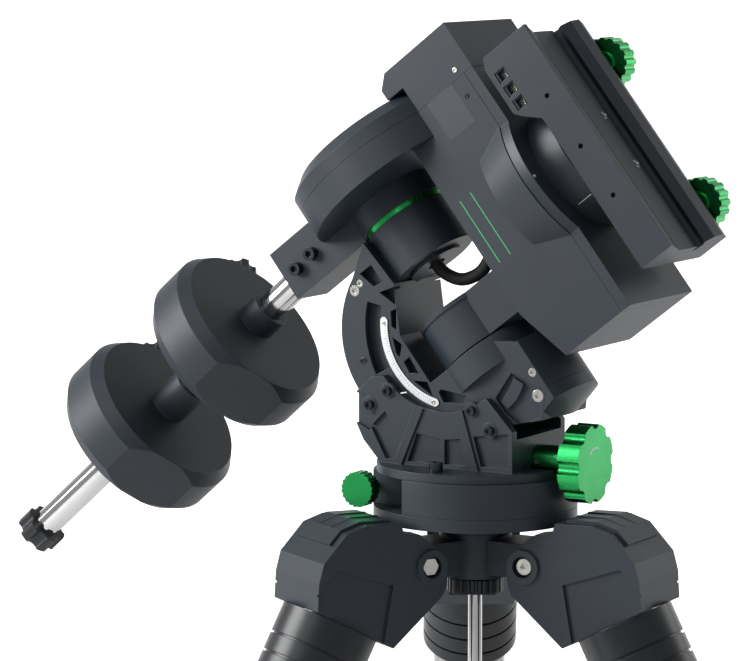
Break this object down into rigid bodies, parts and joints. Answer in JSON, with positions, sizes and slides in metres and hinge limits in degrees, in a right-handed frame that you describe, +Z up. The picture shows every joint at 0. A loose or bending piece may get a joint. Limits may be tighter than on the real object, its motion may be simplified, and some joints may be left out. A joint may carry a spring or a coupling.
{
  "type": "equatorial mount",
  "caption": "Centre-balanced equatorial telescope mount on a steel tripod, with counterweights, green knobs and a dovetail saddle.",
  "frame": {"origin": "On the ground under the azimuth axis, at the centre of the mount's footprint.", "axes": "+Z up, +X to the south (away from the pole), +Y to the far side; the polar axis leans in the X-Z plane."},
  "size_m": [1.032, 0.9, 1.1937],
  "materials": {
    "black_coat": "cast aluminium under a fine textured charcoal black powder coat",
    "black_iron": "black powder-coated cast iron",
    "black_plastic": "satin black moulded plastic",
    "steel_tube": "polished stainless tube",
    "rubber": "matt black rubber",
    "chrome": "bright chrome plate",
    "steel": "stainless steel",
    "bronze": "machined bronze",
    "motor_case": "plain motor case",
    "green_anodised": "bright green anodised aluminium"
  },
  "bodies": {
    "tripod": {"tripod_hub": "black_coat", "pivot_bolts": "steel"},
    "centre_bolt": {"centre_rod": "chrome", "rod_knob": "black_plastic"},
    "leg_1": {"leg_casting_1": "black_coat", "leg_boot_1": "black_plastic", "leg_tube_1": "steel_tube"},
    "lower_leg_1": {"leg_lower_1": "steel_tube", "leg_foot_1": "rubber"},
    "leg_2": {"leg_casting_2": "black_coat", "leg_boot_2": "black_plastic", "leg_tube_2": "steel_tube"},
    "lower_leg_2": {"leg_lower_2": "steel_tube", "leg_foot_2": "rubber"},
    "leg_3": {"leg_casting_3": "black_coat", "leg_boot_3": "black_plastic", "leg_tube_3": "steel_tube"},
    "lower_leg_3": {"leg_lower_3": "steel_tube", "leg_foot_3": "rubber"},
    "azimuth_head": {"base_ring": "black_coat", "wedge": "black_coat", "wedge_bolts": "steel"},
    "azimuth_screw_near": {"azimuth_knob_near": "green_anodised"},
    "azimuth_screw_far": {"azimuth_knob_far": "green_anodised"},
    "altitude_frame": {"altitude_arm": "black_coat", "latitude_scale": "steel", "arm_screws": "steel", "ra_rear_cover": "black_coat", "ra_motor": "motor_case"},
    "altitude_screw": {"altitude_knob": "green_anodised"},
    "polar_head": {"ra_shaft": "black_coat", "ra_trim_ring": "green_anodised", "ra_lower_hub": "black_coat", "ra_worm_wheel": "bronze", "gear_cover_base": "black_coat", "gear_cover_cap": "black_coat", "bar_arm": "black_coat", "bar_clamp_screws": "chrome", "dec_body": "black_coat", "dec_cover": "black_coat", "head_box": "black_coat", "side_knob": "green_anodised", "cable_loop": "rubber", "dec_motor": "motor_case", "counterweight_bar": "chrome"},
    "ra_worm_body": {"ra_worm": "steel"},
    "declination_head": {"dec_shaft": "black_coat", "dec_worm_wheel": "bronze", "saddle_plate": "black_coat", "saddle_panel": "black_coat"},
    "dec_worm_body": {"dec_worm": "steel"},
    "saddle_clamp": {"saddle_jaw": "black_coat"},
    "saddle_screw_upper": {"saddle_knob_upper": "green_anodised"},
    "saddle_screw_lower": {"saddle_knob_lower": "green_anodised"},
    "weight_upper_body": {"weight_upper": "black_iron"},
    "weight_lock_upper": {"weight_knob_upper": "black_plastic"},
    "weight_lower_body": {"weight_lower": "black_iron"},
    "weight_lock_lower": {"weight_knob_lower": "black_plastic"},
    "bar_stop": {"bar_end_knob": "black_plastic"}
  },
  "joints": [
    {"name": "centre_bolt_turn", "type": "hinge", "parent": "tripod", "child": "centre_bolt", "pos_m": [0, 0, 0.665], "axis": [0, 0, 1], "continuous": true},
    {"name": "leg_fold_1", "type": "hinge", "parent": "tripod", "child": "leg_1", "pos_m": [0.072, 0, 0.698], "axis": [0, 1, 0], "range_deg": [0, 22]},
    {"name": "leg_extend_1", "type": "slide", "parent": "leg_1", "child": "lower_leg_1", "axis": [0.4617, 0, -0.887], "range_m": [0, 0.25]},
    {"name": "leg_fold_2", "type": "hinge", "parent": "tripod", "child": "leg_2", "pos_m": [-0.036, 0.06235, 0.698], "axis": [-0.866, -0.5, 0], "range_deg": [0, 22]},
    {"name": "leg_extend_2", "type": "slide", "parent": "leg_2", "child": "lower_leg_2", "axis": [-0.2309, 0.3999, -0.887], "range_m": [0, 0.25]},
    {"name": "leg_fold_3", "type": "hinge", "parent": "tripod", "child": "leg_3", "pos_m": [-0.036, -0.06235, 0.698], "axis": [0.866, -0.5, 0], "range_deg": [0, 22]},
    {"name": "leg_extend_3", "type": "slide", "parent": "leg_3", "child": "lower_leg_3", "axis": [-0.2309, -0.3999, -0.887], "range_m": [0, 0.25]},
    {"name": "azimuth", "type": "hinge", "parent": "tripod", "child": "azimuth_head", "pos_m": [0, 0, 0.745], "axis": [0, 0, 1], "range_deg": [-7, 7]},
    {"name": "azimuth_screw_turn_near", "type": "hinge", "parent": "azimuth_head", "child": "azimuth_screw_near", "pos_m": [-0.08, -0.075, 0.7626], "axis": [0, -1, 0], "range_deg": [-2400, 2400]},
    {"name": "azimuth_screw_turn_far", "type": "hinge", "parent": "azimuth_head", "child": "azimuth_screw_far", "pos_m": [-0.08, 0.075, 0.7626], "axis": [0, 1, 0], "range_deg": [-2400, 2400]},
    {"name": "altitude", "type": "hinge", "parent": "azimuth_head", "child": "altitude_frame", "pos_m": [-0.008, 0, 0.914], "axis": [0, 1, 0], "range_deg": [-27, 7]},
    {"name": "altitude_screw_turn", "type": "hinge", "parent": "azimuth_head", "child": "altitude_screw", "pos_m": [0.1, 0, 0.7916], "axis": [1, 0, 0], "range_deg": [-10200, 10200]},
    {"name": "right_ascension", "type": "hinge", "parent": "altitude_frame", "child": "polar_head", "pos_m": [-0.0333, 0, 0.9554], "axis": [-0.6101, 0, 0.7923], "range_deg": [-95, 95]},
    {"name": "ra_worm_turn", "type": "hinge", "parent": "altitude_frame", "child": "ra_worm_body", "pos_m": [-0.00722, 0, 0.84548], "axis": [0, 1, 0], "continuous": true},
    {"name": "declination", "type": "hinge", "parent": "polar_head", "child": "declination_head", "pos_m": [0.08554, 0, 1.04692], "axis": [0.7923, 0, 0.6101], "continuous": true},
    {"name": "dec_worm_turn", "type": "hinge", "parent": "polar_head", "child": "dec_worm_body", "pos_m": [0.06811, 0.0464, 1.0335], "axis": [-0.6101, 0, 0.7923], "continuous": true},
    {"name": "saddle_clamp_slide", "type": "slide", "parent": "declination_head", "child": "saddle_clamp", "axis": [0, 1, 0], "range_m": [0, 0.012]},
    {"name": "saddle_screw_turn_upper", "type": "hinge", "parent": "saddle_clamp", "child": "saddle_screw_upper", "pos_m": [0.0975, 0.07, 1.15268], "axis": [0, 1, 0], "range_deg": [0, 2900]},
    {"name": "saddle_screw_turn_lower", "type": "hinge", "parent": "saddle_clamp", "child": "saddle_screw_lower", "pos_m": [0.1939, 0.07, 1.0275], "axis": [0, 1, 0], "range_deg": [0, 2900]},
    {"name": "weight_slide_upper", "type": "slide", "parent": "polar_head", "child": "weight_upper_body", "axis": [-0.7524, 0, -0.6587], "range_m": [-0.04, 0.012]},
    {"name": "weight_lock_turn_upper", "type": "hinge", "parent": "weight_upper_body", "child": "weight_lock_upper", "pos_m": [-0.30414, 0.07134, 0.92836], "axis": [-0.4407, 0.7431, 0.5035], "continuous": true},
    {"name": "weight_slide_lower", "type": "slide", "parent": "polar_head", "child": "weight_lower_body", "axis": [-0.7524, 0, -0.6587], "range_m": [-0.014, 0.11]},
    {"name": "weight_lock_turn_lower", "type": "hinge", "parent": "weight_lower_body", "child": "weight_lock_lower", "pos_m": [-0.40572, 0.07134, 0.83943], "axis": [-0.4407, 0.7431, 0.5035], "continuous": true},
    {"name": "bar_stop_turn", "type": "hinge", "parent": "polar_head", "child": "bar_stop", "pos_m": [-0.4947, 0, 0.67616], "axis": [-0.7524, 0, -0.6587], "continuous": true}
  ],
  "couplings": [
    {"joint": "azimuth_screw_turn_near", "follows": "azimuth", "ratio": 335.1},
    {"joint": "azimuth_screw_turn_far", "follows": "azimuth", "ratio": 335.1},
    {"joint": "altitude_screw_turn", "follows": "altitude", "ratio": 361.28},
    {"joint": "ra_worm_turn", "follows": "right_ascension", "ratio": 180},
    {"joint": "dec_worm_turn", "follows": "declination", "ratio": 180},
    {"joint": "saddle_screw_turn_upper", "follows": "saddle_clamp_slide", "rad_per_m": 4188.8},
    {"joint": "saddle_screw_turn_lower", "follows": "saddle_clamp_slide", "rad_per_m": 4188.8}
  ]
}
